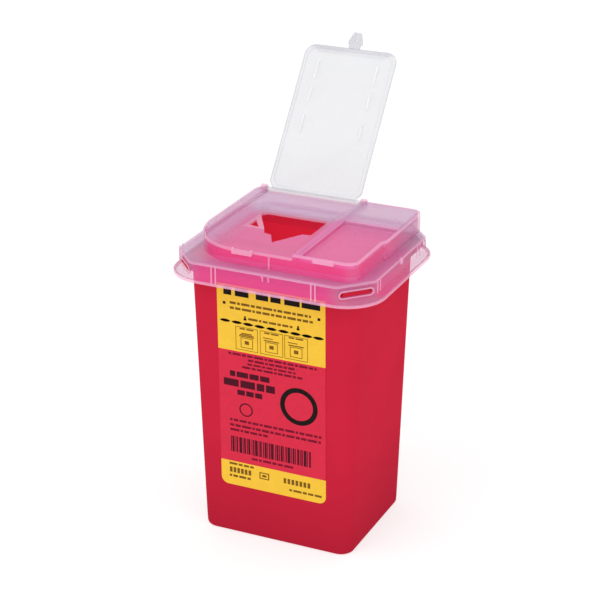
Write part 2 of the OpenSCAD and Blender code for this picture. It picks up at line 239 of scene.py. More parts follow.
def flat_mesh(piece, sharp=32):
    """Replaces a piece's mesh by the one its modifiers give."""
    graph = bpy.context.evaluated_depsgraph_get()
    mesh = bpy.data.meshes.new_from_object(piece.evaluated_get(graph))
    piece.modifiers.clear()
    piece.data = mesh
    tidy(mesh, sharp)


def carve(piece, cutter, sharp=32):
    """Cuts the cutter out of the piece and removes the cutter."""
    cut = piece.modifiers.new("carve", "BOOLEAN")
    cut.operation, cut.solver, cut.object = "DIFFERENCE", "EXACT", cutter
    flat_mesh(piece, sharp)
    bpy.data.objects.remove(cutter)


def capped(rings):
    """Rings with both ends drawn in to their centres, so that the shell closes at a pole."""
    first, last = rings[0].mean(0), rings[-1].mean(0)
    low = [first + (rings[0] - first) * s for s in (0.0, 0.5)]
    high = [last + (rings[-1] - last) * s for s in (0.5, 0.0)]
    return np.stack([*low, *rings, *high])


def prism(outline, z0, z1):
    """Closed shell over an outline from z0 to z1."""
    outline = np.array(outline, float)
    return capped([raised(outline, z0), raised(outline, z1)])


def finish_piece(piece, coat, body, slot, *nodes, edge=None, where=None):
    """Gives a piece its finish and its body, and hides the CAD nodes that it stands for. The faces whose
    centres (millimetres) and normals the function where picks get the edge finish."""
    mesh = piece.data
    mesh.materials.clear()
    mesh.materials.append(coat)
    if edge:
        mesh.materials.append(edge)
        pick_faces(mesh, where)
    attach(piece, body)
    if nodes:
        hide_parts(*nodes)


def pick_faces(mesh, where):
    """Puts the second finish on the faces that where picks from their centres and normals."""
    values = np.empty((2, len(mesh.polygons) * 3))
    mesh.polygons.foreach_get("center", values[0])
    mesh.polygons.foreach_get("normal", values[1])
    picked = where(values[0].reshape(-1, 3) / MM, values[1].reshape(-1, 3))
    mesh.polygons.foreach_set("material_index", picked.astype(np.int32))


def clad(coat, *nodes, bevel=0.0):
    """Gives CAD nodes a finish and, where asked, softened edges."""
    for name in nodes:
        node = frame["nodes"][name]
        for s in node.material_slots:
            s.material = coat
        if bevel:
            weld = node.modifiers.new("weld", "WELD")
            weld.merge_threshold = 1e-6
            soft = node.modifiers.new("soft edges", "BEVEL")
            soft.width, soft.segments, soft.limit_method = bevel * MM, 2, "ANGLE"
            soft.angle_limit = math.radians(35)


# --------------------------------------------------------------- materials


class Nodes:
    """Short ways to add and join shader nodes."""

    def __init__(self, name):
        """A new material with one Principled shader, and the Object coordinates."""
        self.material = bpy.data.materials.new(name)
        self.material.use_nodes = True
        self.tree = self.material.node_tree
        self.shader = self.tree.nodes["Principled BSDF"]
        self.place = self.tree.nodes.new("ShaderNodeTexCoord").outputs["Object"]

    def join(self, a, b):
        """Links socket a to socket b."""
        self.tree.links.new(a, b)

    def noise(self, scale, detail=3.0, rough=0.5, stretch=None):
        """Noise over Object coordinates, at so many cells to a metre."""
        n = self.tree.nodes.new("ShaderNodeTexNoise")
        n.inputs["Scale"].default_value = scale
        n.inputs["Detail"].default_value = detail
        n.inputs["Roughness"].default_value = rough
        place = self.place
        if stretch:
            m = self.tree.nodes.new("ShaderNodeMapping")
            m.inputs["Scale"].default_value = stretch
            self.join(self.place, m.inputs["Vector"])
            place = m.outputs["Vector"]
        self.join(place, n.inputs["Vector"])
        return n.outputs["Fac"]

    def ramp(self, value, low, high, out_low=0.0, out_high=1.0):
        """value from low..high carried to out_low..out_high."""
        r = self.tree.nodes.new("ShaderNodeMapRange")
        for key, v in zip(("From Min", "From Max", "To Min", "To Max"), (low, high, out_low, out_high)):
            r.inputs[key].default_value = v
        self.join(value, r.inputs["Value"])
        return r.outputs["Result"]

    def mix(self, factor, a, b):
        """Colour a where factor is 0 and b where it is 1. Each is a colour or a socket."""
        m = self.tree.nodes.new("ShaderNodeMix")
        m.data_type = "RGBA"
        self.join(factor, m.inputs["Factor"])
        for key, c in (("A", a), ("B", b)):
            socket = [s for s in m.inputs if s.name == key and s.type == "RGBA"][0]
            if isinstance(c, bpy.types.NodeSocket):
                self.join(c, socket)
            else:
                socket.default_value = (*c[:3], 1)
        return [s for s in m.outputs if s.type == "RGBA"][0]

    def measure(self, x, y, z, sides=False):
        """Sum of the Object coordinates times x, y and z, with the sizes of x and y where sides is set."""
        place = self.place
        if sides:
            size = self.tree.nodes.new("ShaderNodeVectorMath")
            size.operation = "ABSOLUTE"
            self.join(place, size.inputs[0])
            place = size.outputs["Vector"]
        dot = self.tree.nodes.new("ShaderNodeVectorMath")
        dot.operation = "DOT_PRODUCT"
        self.join(place, dot.inputs[0])
        dot.inputs[1].default_value = (x, y, z)
        return dot.outputs["Value"]

    def most(self, a, b):
        """The larger of two values."""
        m = self.tree.nodes.new("ShaderNodeMath")
        m.operation = "MAXIMUM"
        self.join(a, m.inputs[0])
        self.join(b, m.inputs[1])
        return m.outputs["Value"]

    def bump(self, height, strength, distance):
        """Lets a height raise the shading, distance being in metres."""
        b = self.tree.nodes.new("ShaderNodeBump")
        b.inputs["Strength"].default_value = strength
        b.inputs["Distance"].default_value = distance
        self.join(height, b.inputs["Height"])
        self.join(b.outputs["Normal"], self.shader.inputs["Normal"])

    def set(self, **values):
        """Constants of the shader, with _ for a space in a name."""
        for key, v in values.items():
            self.shader.inputs[key.replace("_", " ")].default_value = v


def shade(colour, factor):
    """The colour times factor, at most 1."""
    return tuple(min(1.0, c * factor) for c in colour)


def red_plastic(name, colour, glow):
    """Red polypropylene: faint cloudiness, painted shade darker near its foot, fine grain, hardly any shine,
    and inside the bin a painted glow that stands for the light its walls let through."""
    n = Nodes(name)
    cloud = n.noise(28, 4, 0.55)
    streak = n.noise(60, 3, 0.5, (1, 1, 0.12))
    tone = n.mix(n.ramp(cloud, 0.35, 0.65), shade(colour, 0.96), shade(colour, 1.04))
    tone = n.mix(n.ramp(streak, 0.3, 0.7, 0, 0.35), tone, shade(colour, 1.08))
    # Painted shade: the base colour darkens to 0.76 of itself over the lowest 55 mm.
    foot = n.ramp(n.measure(0, 0, -1), -0.055, 0.0)
    n.join(n.mix(foot, tone, shade(colour, 0.76)), n.shader.inputs["Base Color"])
    n.join(n.ramp(n.noise(300, 3), 0.3, 0.7, 0.36, 0.46), n.shader.inputs["Roughness"])
    n.bump(n.noise(500, 2), 0.03, 0.0002)
    # Painted glow: emission in the bin's own red stands for the light that its walls let through.
    n.set(Specular_IOR_Level=0.001, Emission_Strength=glow)
    n.shader.inputs["Emission Color"].default_value = (*colour, 1)
    return n.material


def milky_plastic(name, near, far, alpha, share):
    """Milky polypropylene that lets part of the light and view through, its tint going from near
    to far by the share that a function of the nodes gives."""
    n = Nodes(name)
    tint = n.mix(share(n), near, far)
    cloud = n.ramp(n.noise(55, 4, 0.6), 0.3, 0.7, 0.0, 0.22)
    n.join(n.mix(cloud, tint, shade(near, 1.12)), n.shader.inputs["Base Color"])
    n.join(n.ramp(n.noise(380, 3), 0.3, 0.7, 0.26, 0.4), n.shader.inputs["Roughness"])
    n.bump(n.noise(700, 2), 0.05, 0.0002)
    n.set(Alpha=alpha, Specular_IOR_Level=0.3)
    return n.material


def wall_share(n):
    """Upright walls: paler at the cut corners, along the sides and at the left; pink elsewhere with painted
    red light from the bin behind.
    """
    corner = n.ramp(n.measure(0.734, 0.679, 0, sides=True), 0.0575, 0.0635, 0.0, 1.0)
    back = n.ramp(n.measure(0, 1, 0), -0.040, 0.020, 0.0, 0.9)
    left = n.ramp(n.measure(-1, 0, 0), 0.036, 0.047, 0.0, 0.8)
    return n.most(corner, n.most(back, left))


def top_share(n):
    """Level faces: paler behind the opening and at the left; pink elsewhere with painted red light from the
    bin below.
    """
    back = n.ramp(n.measure(0, 1, 0), 0.008, 0.021)
    left = n.ramp(n.measure(-1, 0, 0), 0.028, 0.042, 0.0, 0.9)
    return n.most(back, left)


def even_share(n):
    """An even cloudiness."""
    return n.ramp(n.noise(30, 3), 0.35, 0.65)


def film(name, yellow, red):
    """Printed film: yellow bands at the top and bottom, red between them, with ink grain."""
    n = Nodes(name)
    split = n.tree.nodes.new("ShaderNodeSeparateXYZ")
    n.join(n.place, split.inputs["Vector"])
    low = n.ramp(split.outputs["Z"], (BAND_LOW - BAND_BLUR) * MM, (BAND_LOW + BAND_BLUR) * MM)
    high = n.ramp(split.outputs["Z"], (BAND_HIGH - BAND_BLUR) * MM, (BAND_HIGH + BAND_BLUR) * MM)
    grain = n.ramp(n.noise(260, 4, 0.6), 0.3, 0.7)
    warm = n.mix(grain, shade(yellow, 0.96), shade(yellow, 1.04))
    cold = n.mix(grain, shade(red, 0.95), shade(red, 1.05))
    n.join(n.mix(high, n.mix(low, warm, cold), warm), n.shader.inputs["Base Color"])
    n.join(n.ramp(n.noise(500, 3), 0.3, 0.7, 0.36, 0.48), n.shader.inputs["Roughness"])
    n.bump(n.noise(1200, 2), 0.04, 0.0001)
    n.set(Specular_IOR_Level=0.2)
    return n.material


def ink(name, dark, worn):
    """Printed ink, a little uneven."""
    n = Nodes(name)
    n.join(n.mix(n.ramp(n.noise(900, 4, 0.6), 0.35, 0.75), dark, worn), n.shader.inputs["Base Color"])
    n.join(n.ramp(n.noise(700, 2), 0.3, 0.7, 0.4, 0.55), n.shader.inputs["Roughness"])
    n.set(Specular_IOR_Level=0.05)
    return n.material


def paper(colour):
    """Pale floor with a barely visible cloudiness."""
    n = Nodes("pale floor")
    n.join(n.mix(n.ramp(n.noise(3, 2), 0.3, 0.7), colour, shade(colour, 1.02)), n.shader.inputs["Base Color"])
    n.set(Roughness=0.9, Specular_IOR_Level=0.0)
    n.shader.inputs["Emission Color"].default_value = (1, 1, 1, 1)
    n.shader.inputs["Emission Strength"].default_value = 0.61
    return n.material


# ------------------------------------------------------------------- sizes


class SharpsFinish(bpy.types.PropertyGroup):
    """Colours of the plastics and of the printing."""

    red: FloatVectorProperty(
        name="Bin red", description="Base colour of the bin", subtype="COLOR", size=3,
        default=(0.575, 0.019, 0.047), min=0, max=1,
    )
    # The lid's wall and top tints hold painted red light from the bin seen through the plastic; the far tints
    # hold less of it.
    wall: FloatVectorProperty(
        name="Lid wall tint", description="Base colour of the lid's front walls", subtype="COLOR", size=3,
        default=(1.0, 0.115, 0.42), min=0, max=1,
    )
    wall_far: FloatVectorProperty(
        name="Lid corner tint", description="Base colour of the lid's walls at its corners and back",
        subtype="COLOR", size=3, default=(0.64, 0.31, 0.51), min=0, max=1,
    )
    top: FloatVectorProperty(
        name="Lid top tint", description="Base colour of the lid's level faces", subtype="COLOR", size=3,
        default=(0.96, 0.34, 0.70), min=0, max=1,
    )
    top_far: FloatVectorProperty(
        name="Lid back tint", description="Base colour of the level faces behind the opening",
        subtype="COLOR", size=3, default=(0.80, 0.60, 0.82), min=0, max=1,
    )
    cover: FloatProperty(
        name="Lid cover", description="How much one face of the lid hides", subtype="FACTOR",
        default=0.38, min=0, max=1,
    )
    # Tint of the painted highlight on the lid's thick edges, bead and small mouldings.
    edge: FloatVectorProperty(
        name="Lid edge tint", description="Base colour of the lid's thick edges", subtype="COLOR", size=3,
        default=(1.0, 0.50, 0.72), min=0, max=1,
    )
    clear: FloatVectorProperty(
        name="Flap tint", description="Base colour of the flap", subtype="COLOR", size=3,
        default=(0.77, 0.78, 0.81), min=0, max=1,
    )
    clear_edge: FloatVectorProperty(
        name="Flap edge tint", description="Base colour of the flap's rim and latch",
        subtype="COLOR", size=3, default=(0.66, 0.66, 0.72), min=0, max=1,
    )
    yellow: FloatVectorProperty(
        name="Label yellow", description="Colour of the label's yellow bands", subtype="COLOR", size=3,
        default=(0.88, 0.53, 0.035), min=0, max=1,
    )
    label_red: FloatVectorProperty(
        name="Label red", description="Colour of the label's middle", subtype="COLOR", size=3,
        default=(0.66, 0.014, 0.05), min=0, max=1,
    )


class SharpsSizes(bpy.types.PropertyGroup):
    """Soft edges and details that the frame leaves open."""

    edge: FloatProperty(
        name="Edge radius", description="Radius of the moulded outer edges", unit="LENGTH",
        default=0.0006, min=0.0002, max=0.001,
    )
    foot: FloatProperty(
        name="Foot radius", description="Radius where the bin's wall meets its floor", unit="LENGTH",
        default=0.002, min=0.001, max=0.003,
    )


def finish():
    """The scene's colours."""
    return bpy.context.scene.sharps_finish


def sizes():
    """The scene's soft edges."""
    return bpy.context.scene.sharps_sizes


def material(name):
    """A finish by its name, made once."""
    if name not in bpy.data.materials:
        f = finish()
        red, wall, clear, edge, dim = map(tuple, (f.red, f.wall, f.clear, f.edge, f.clear_edge))
        makers = {
            "red polypropylene": (red_plastic, red, 0.0),
            # Painted glow inside the bin.
            "red inside": (red_plastic, red, 0.45),
            # Painted red light: the pinks of the lid's walls and tops, paler where the shares say.
            "milky wall": (milky_plastic, wall, tuple(f.wall_far), f.cover, wall_share),
            "milky top": (milky_plastic, tuple(f.top), tuple(f.top_far), f.cover, top_share),
            # A paler, less clear tint: the painted highlight on thick edges, the bead and small mouldings.
            "milky edge": (milky_plastic, edge, shade(edge, 1.08), 0.45, even_share),
            # The plug's red is painted red light from the bin behind it.
            "milky plug": (milky_plastic, shade(red, 1.1), shade(wall, 0.7), 0.12, even_share),
            "clear flap": (milky_plastic, clear, shade(clear, 0.95), 0.38, even_share),
            "flap edge": (milky_plastic, dim, shade(dim, 0.85), 0.5, even_share),
            "flap rib": (milky_plastic, shade(clear, 1.25), shade(clear, 1.3), 0.6, even_share),
            "label film": (film, tuple(f.yellow), tuple(f.label_red)),
            "black ink": (ink, (0.006, 0.005, 0.005), (0.02, 0.012, 0.01)),
            "brown ink": (ink, (0.16, 0.075, 0.012), (0.26, 0.13, 0.016)),
            "red ink": (ink, (0.15, 0.006, 0.022), (0.24, 0.009, 0.03)),
            "dark red ink": (ink, (0.055, 0.006, 0.014), (0.10, 0.008, 0.02)),
        }
        make, *values = makers[name]
        make(name, *values)
    return bpy.data.materials[name]


# --------------------------------------------------------------- operators


class SHARPS_OT_bin(bpy.types.Operator):
    """Make the tapered red bin, and finish its rim and lugs"""

    bl_idname = "sharps.make_bin"
    bl_label = "Bin"

    def execute(self, context):
        def wall(inset, z):
            """A rounded rectangle at height z: half sizes = foot half sizes + slope * z - inset."""
            hx, hy = BASE_HX + SLOPE_X * z - inset, BASE_HY + SLOPE_Y * z - inset
            return raised(arcs(box_arcs(hx, hy, max(BIN_R - inset, 0.5))), z)

        foot = sizes().foot / MM
        turn = np.radians(np.linspace(0, 90, 7))
        outer = [(1.6 * (1 - math.sin(a)) + 0.05, foot * (1 - math.cos(a))) for a in turn]
        inner_r = 3.0
        inner = [
            (BIN_WALL + inner_r * (1 - math.cos(a)), FLOOR_T + inner_r * (1 - math.sin(a)))
            for a in np.radians(np.linspace(0, 90, 6))
        ]
        rings = [wall(i, z) for i, z in outer]
        rings += [wall(0, z) for z in (4, 40, 80, 120, 150, 152.9)]
        rings += [wall(0.15, 153.2), wall(0.5, 153.3), wall(1.1, 153.3), wall(1.45, 153.1)]
        rings += [wall(BIN_WALL, z) for z in (150, 110, 60, 20)]
        rings += [wall(i, z) for i, z in inner]
        piece = build("bin_shell", [(capped(rings), False, True)])
        red = material("red polypropylene")
        # The inner faces and the floor's top get the painted glow of red inside.
        finish_piece(
            piece, red, "root", "red_plastic", "container_bin", edge=material("red inside"),
            where=lambda c, n: ((c * n)[:, :2].sum(1) < -1) | ((n[:, 2] > 0.5) & (c[:, 2] < 20)),
        )
        clad(red, "container_rim", "snap_lugs", bevel=0.2)
        return {"FINISHED"}


class SHARPS_OT_skirt(bpy.types.Operator):
    """Make the lid's skirt with its slots, its bead, and its ledge"""

    bl_idname = "sharps.make_skirt"
    bl_label = "Lid skirt and ledge"

    def execute(self, context):
        def skirt(inset, z):
            """The cut-off outline led over to the rim's: share = (height below the flare's top / its
            height)^1.15."""
            flare = np.clip((FOOT_Z - z) / (FOOT_Z - BEAD_TOP), 0, 1) ** 1.15
            cut = arcs(cut_arcs(), inset)
            rim = arcs(box_arcs(RIM_HX - 0.4, RIM_HY - 0.4, RIM_R - 0.4), inset)
            return raised(cut + (rim - cut) * flare, z)

        top = LEDGE_Z - LEDGE_T - 0.02
        levels = [BEAD_TOP + 0.02, 146, 146.6, 147.2, 147.7, 148, 148.4, 150, 152, top]
        rings = [skirt(0, z) for z in levels] + [skirt(LID_WALL, z) for z in levels[::-1]]
        piece = build("lid_skirt_shell", [(np.stack(rings), True, True)])
        for sx in (1, -1):
            for sy in (1, -1):
                carve(piece, self.slot_cutter(sx, sy))
        wall, edge = material("milky wall"), material("milky edge")
        finish_piece(piece, wall, "root", "milky_plastic", "lid_skirt")

        # The whole bead gets the painted highlight.
        bead = [(0.5, 0), (0.15, 0.15), (0, 0.5), (0, 1.0), (0.12, 1.4), (0.45, 1.58)]
        bead += [(1.2, 1.58), (1.5, 1.4), (1.6, 1.0), (1.6, 0.4), (1.45, 0.1), (1.1, 0)]
        rings = [raised(arcs(box_arcs(RIM_HX, RIM_HY, RIM_R), i, 14), RIM_Z + z) for i, z in bead]
        piece = build("lid_rim_bead_ring", [(np.stack(rings), True, True)])
        finish_piece(piece, edge, "root", "milky_plastic", "lid_rim_bead")

        turn = np.radians(np.arange(0, 360, 1.5))
        close = np.linspace(0.02, 0.98, 60)
        plug = arcs(box_arcs(MOUTH_HX - 3.15, MOUTH_HY - 3.15, BIN_R - 3.15), fill=close)
        hole = np.minimum(reach(plug, turn), reach(deck_outline(LID_WALL), turn))

        def level(inset, z, inward=0.0):
            """A ring at height z, the share inward of the way from the outline to the hole."""
            out = reach(arcs(cut_arcs(), inset, 14, close), turn)
            r = out + (hole - out) * inward
            return np.column_stack([r * np.cos(turn), r * np.sin(turn), np.full(len(turn), z)])

        rings = [level(0, LEDGE_Z - LEDGE_T), level(0, LEDGE_Z - 0.45), level(0.13, LEDGE_Z - 0.13)]
        rings += [level(0.45, LEDGE_Z, s) for s in (0, 0.3, 0.65, 1.0)] + [level(0, LEDGE_Z - LEDGE_T, 1.0)]
        piece = build("lid_ledge_ring", [(np.stack(rings), True, True)])
        # The ledge's outward upright faces get the painted highlight.
        finish_piece(
            piece, material("milky top"), "root", "milky_plastic", "lid_ledge", edge=edge,
            where=lambda c, n: (np.abs(n[:, 2]) < 0.95) & ((c * n).sum(1) > 0),
        )

        clad(material("milky plug"), "lid_plug", bevel=0.2)
        # The slot rims, ribs and bosses get the painted highlight.
        clad(edge, "slot_rims", "skirt_ribs", "side_bosses", bevel=0.15)
        self.ticks(edge)
        return {"FINISHED"}

    def ticks(self, edge):
        """Small moulded ticks below the ledge."""
        boxes = [(x, x + 0.6, z, z + 2.4) for x, z in ((0.2, 151.3), (3.4, 151.3))]
        boxes += [(-0.3, 0.9, 153.2, 153.8), (2.9, 4.1, 153.2, 153.8)]
        b = np.array(boxes)
        low = np.column_stack([b[:, 0], np.full(len(b), -LEDGE_HY - 0.28), b[:, 2]])
        high = np.column_stack([b[:, 1], np.full(len(b), -LEDGE_HY + 0.05), b[:, 3]])
        piece = boxes_piece("skirt_ticks", low, high)
        # The ticks get the painted highlight.
        finish_piece(piece, edge, "root", "milky_plastic")

    def slot_cutter(self, sx, sy):
        """A bar with round ends through one cut corner."""
        half, r = (SLOT_LEN - SLOT_H) / 2, SLOT_H / 2
        a = np.radians(np.concatenate([np.linspace(-90, 90, 13), np.linspace(90, 270, 13)]))
        y = np.where(np.cos(a) >= -1e-9, half, -half)
        y[13:] = -half
        outline = np.stack([y + r * np.cos(a), SLOT_Z + r * np.sin(a)], 1)
        c = math.radians(CUT_ANGLE)
        out, along = np.array([math.cos(c), math.sin(c)]), np.array([-math.sin(c), math.cos(c)])
        rings = []
        for depth in (-4, 4):
            flat = out * (SLOT_OUT + depth) + np.outer(outline[:, 0] - SLOT_SHIFT[sx], along)
            rings.append(np.column_stack([flat * (sx, sy), outline[:, 1]]))
        return build("slot_cutter", [(capped(rings), False, True)])


class SHARPS_OT_deck(bpy.types.Operator):
    """Make the raised deck: its wall, border, funnel, ridge, panel and block"""

    bl_idname = "sharps.make_deck"
    bl_label = "Deck"

    def execute(self, context):
        milky, edge = material("milky top"), material("milky edge")
        self.wall(material("milky wall"), edge)
        inner = deck_outline(LID_WALL + 0.03)
        low, high = self.sides(inner)

        x0, x1 = inner[:, 0].min(), inner[:, 0].max()
        xs = np.concatenate([np.linspace(x0, x0 + 1.5, 12), SEAT_X0 - np.array([0.5, 0.15, 0, 0])])
        zs = np.concatenate([np.full(13, DECK_Z), [DECK_Z - 0.15, DECK_Z - 0.5, SEAT_Z - TOP_T]])
        self.strip("deck_border_strip", xs, zs, low, high, milky, "deck_border")

        a, b = SEAT_X1 + 0.02, RIDGE_X1 - 0.02
        xs = np.array([a, a, a + 0.15, a + 0.5, (a + b) / 2, b - 0.5, b - 0.15, b, b])
        soft = [DECK_Z - 0.5, DECK_Z - 0.15, DECK_Z]
        zs = np.array([SEAT_Z - TOP_T, *soft, DECK_Z, *soft[::-1], PANEL_Z - TOP_T])
        self.strip("deck_ridge_bar", xs, zs, low, high, milky, "deck_ridge")

        start = [RIDGE_X1, RIDGE_X1 + 1]
        xs = [start, np.linspace(20, 38, 10), PANEL_SIDE - ease(5, 12)]
        xs = np.concatenate([*xs, [PANEL_SIDE + 0.06], x1 - ease(DECK_STEP, 9, 30)])
        ys = np.linspace(-41, BLOCK_Y - 0.03, 40)
        self.sheet(
            "deck_panel_sheet", xs, ys, lambda x, y: np.full_like(x, PANEL_Z),
            low, high, milky, "deck_panel",
        )

        xs = np.concatenate([start, np.linspace(20, 40, 10), x1 - ease(5, 14)])
        ys = np.concatenate([BLOCK_Y + np.array([0, 0, 0.15, 0.5]), np.linspace(BLOCK_Y + 1, 43, 30)])
        front = np.array([PANEL_Z - TOP_T, DECK_Z - 0.5, DECK_Z - 0.15, DECK_Z])
        drop = np.concatenate([front, np.full(30, DECK_Z)])
        self.sheet(
            "deck_block_sheet", xs, ys, lambda x, y: np.broadcast_to(drop[:, None], x.shape),
            low, high, milky, "deck_block",
        )

        self.funnel(low, high, milky)
        # The front rib, and further on the unwinder, lips and knuckles, get the painted highlight.
        foot, head = [0.5, DECK_Y0 - 0.22, LEDGE_Z + 0.05], [1.3, DECK_Y0 + 0.05, SEAT_Z - 1.3]
        rib = boxes_piece("deck_front_rib", np.array([foot]), np.array([head]))
        finish_piece(rib, edge, "root", "milky_plastic")
        clad(edge, "needle_unwinder", bevel=0.15)
        clad(edge, "front_lips", bevel=0.25)
        clad(edge, "hinge_knuckles", bevel=0.2)
        return {"FINISHED"}

    def sides(self, outline):
        """The outline's front and back as y over x, each a pair of arrays for interpolation."""
        a, b = outline[:, 0].argmin(), outline[:, 0].argmax()
        ring = np.roll(outline, -a, axis=0)
        turn = (b - a) % len(outline)
        front, back = ring[: turn + 1], ring[turn:][::-1]
        return (front[:, 0], front[:, 1]), (back[:, 0], back[:, 1])

    def wall(self, milky, edge):
        """Ring round the deck's outline, its top lowered where the flap lies."""
        r = sizes().edge / MM

        def ring(inset, drop, base=None):
            """The outline at drop below the wall's top, which falls to the seat and to the hinge's
            trough where the flap lies, or at the level height base."""
            line = deck_outline(inset)
            x = line[:, 0]
            seat = smooth((x - SEAT_X0 + 0.2) / 0.4) * smooth((SEAT_X1 + 0.2 - x) / 0.4)
            top = DECK_Z + (SEAT_Z - DECK_Z) * seat
            inside = (line[:, 1] > HINGE_Y - TROUGH_R) & (seat > 0.5)
            top = np.where(inside, np.minimum(top, trough(line[:, 1])), top)
            return raised(line, top - drop if base is None else base)

        rings = [ring(0, 0, LEDGE_Z + 0.02), ring(0, 3.5), ring(0, 1.2), ring(0, r)]
        rings += [ring(r * 0.3, r * 0.3), ring(r, 0)]
        rings += [ring(LID_WALL - 0.3, 0), ring(LID_WALL, 0.3), ring(LID_WALL, 3.5)]
        rings += [ring(LID_WALL, 0, LEDGE_Z + 0.02)]
        piece = build("deck_wall_ring", [(np.stack(rings), True, True)])

        def on_top(c, n):
            """Faces less than 1.1 mm below the wall's top, which get the painted highlight."""
            under_flap = (c[:, 0] > SEAT_X0) & (c[:, 0] < SEAT_X1)
            return c[:, 2] > np.where(under_flap, SEAT_Z, DECK_Z) - 1.1

        finish_piece(piece, milky, "root", "milky_plastic", "deck_wall", edge=edge, where=on_top)

    def thicken(self, piece, coat, node):
        """Gives a sheet the deck's thickness, downwards, and the painted highlight on its slanted faces near
        the top.
        """
        solid = piece.modifiers.new("thickness", "SOLIDIFY")
        solid.thickness, solid.offset, solid.use_even_offset = TOP_T * MM, -1, True
        flat_mesh(piece)
        finish_piece(
            piece, coat, "root", "milky_plastic", node, edge=bpy.data.materials["milky edge"],
            where=lambda c, n: (n[:, 2] > 0.25) & (n[:, 2] < 0.8) & (c[:, 2] > SEAT_Z - 1),
        )

    def sheet(self, name, xs, ys, height, low, high, coat, node):
        """Heights over a grid of x and y, its front and back clipped to the deck's outline."""
        x, y = np.meshgrid(xs, ys)
        z = height(x, y)
        y = np.clip(y, np.interp(x, *low), np.interp(x, *high))
        piece = build(name, [(np.stack([x, y, z], -1), False, False)], open_sheet=True)
        self.thicken(piece, coat, node)
        return piece

    def strip(self, name, xs, zs, low, high, coat, node):
        """A profile of x and z carried from the deck's front to its back."""
        t = np.linspace(0, 1, 24)[:, None]
        front, back = np.interp(xs, *low), np.interp(xs, *high)
        y = front + (back - front) * t
        x, z = np.broadcast_to(xs, y.shape), np.broadcast_to(zs, y.shape)
        piece = build(name, [(np.stack([x, y, z], -1), False, False)], open_sheet=True)
        self.thicken(piece, coat, node)

    def funnel(self, low, high, milky):
        """The flap's seat falling to the well: height is the seat's less the depth times the least of the
        shares of the way in from each side, softened at the bends, with the opening cut through."""
        corner, end = np.array([MOUTH[0], -27.2]), np.array([-27.2, MOUTH[2]])
        normal = np.array([-(end - corner)[1], (end - corner)[0]])
        normal /= np.linalg.norm(normal)
        run = (np.array([WELL[0], WELL[2]]) - corner) @ normal

        def height(x, y):
            """The seat's height less the softened least way in times the well's depth."""
            ways = np.stack([
                (x - MOUTH[0]) / (WELL[0] - MOUTH[0]), (MOUTH[1] - x) / (MOUTH[1] - WELL[1]),
                (y - MOUTH[2]) / (WELL[2] - MOUTH[2]), (MOUTH[3] - y) / (MOUTH[3] - WELL[3]),
                ((x - corner[0]) * normal[0] + (y - corner[1]) * normal[1]) / run,
                np.ones_like(x),
            ])
            k = 0.03
            least = -k * np.log(np.exp(-ways / k).sum(0))
            way = k * np.log1p(np.exp(least / k))
            z = SEAT_Z - (SEAT_Z - WELL_Z) * np.clip(way, 0, 1)
            return np.where(y > HINGE_Y - TROUGH_R, np.minimum(z, trough(y)), z)

        xs = np.linspace(SEAT_X0 + 0.03, SEAT_X1 - 0.03, 110)
        ys = np.linspace(-41, 42, 170)
        piece = self.sheet("funnel_tray_sheet", xs, ys, height, low, high, milky, "funnel_tray")
        cutter = prism(dense(OPENING, 8), WELL_Z - 6, WELL_Z + 6)
        carve(piece, build("opening_cutter", [(cutter, False, True)]))
        # The opening's upright faces get the painted highlight.
        pick_faces(piece.data, lambda c, n: (np.abs(n[:, 2]) < 0.2) & (np.abs(c[:, 1]) < 22) & (c[:, 0] < 6))


def reach(outline, turn):
    """How far a closed outline round the origin reaches in each direction of turn."""
    a = np.arctan2(outline[:, 1], outline[:, 0]) % (2 * np.pi)
    order = np.argsort(a)
    return np.interp(turn, a[order], np.hypot(*outline.T)[order], period=2 * np.pi)


def boxes_piece(name, low, high, place=None):
    """One mesh of closed boxes from their low and high corners, carried by the function place where given."""
    pick = np.array([[i & 1, i >> 1 & 1, i >> 2 & 1] for i in range(8)])
    points = np.where(pick, high[:, None], low[:, None]).reshape(-1, 3)
    if place:
        points = place(points)
    sides = np.array([[0, 2, 3, 1], [4, 5, 7, 6], [0, 1, 5, 4], [2, 6, 7, 3], [0, 4, 6, 2], [1, 3, 7, 5]])
    faces = (sides[None] + 8 * np.arange(len(low))[:, None, None]).reshape(-1, 4)
    mesh = bpy.data.meshes.new(name)
    mesh.from_pydata((points * MM).tolist(), [], faces.tolist())
    tidy(mesh)
    piece = bpy.data.objects.new(name, mesh)
    bpy.context.scene.collection.objects.link(piece)
    return piece


def on_label(p):
    """Points of (across, up, out) on the label's leaning plane put in the frame."""
    a = math.atan(SLOPE_Y)
    x, h, w = p[..., 0], p[..., 1], p[..., 2]
    y = -BASE_HY - h * math.sin(a) - w * math.cos(a)
    return np.stack([x - LABEL_SHIFT, y, h * math.cos(a) - w * math.sin(a)], -1)


def dense(points, n):
    """A closed polygon with n points along each side."""
    p = np.array(points, float)
    q = np.roll(p, -1, axis=0)
    t = np.linspace(0, 1, n, endpoint=False)[None, :, None]
    return (p[:, None] + (q - p)[:, None] * t).reshape(-1, 2)


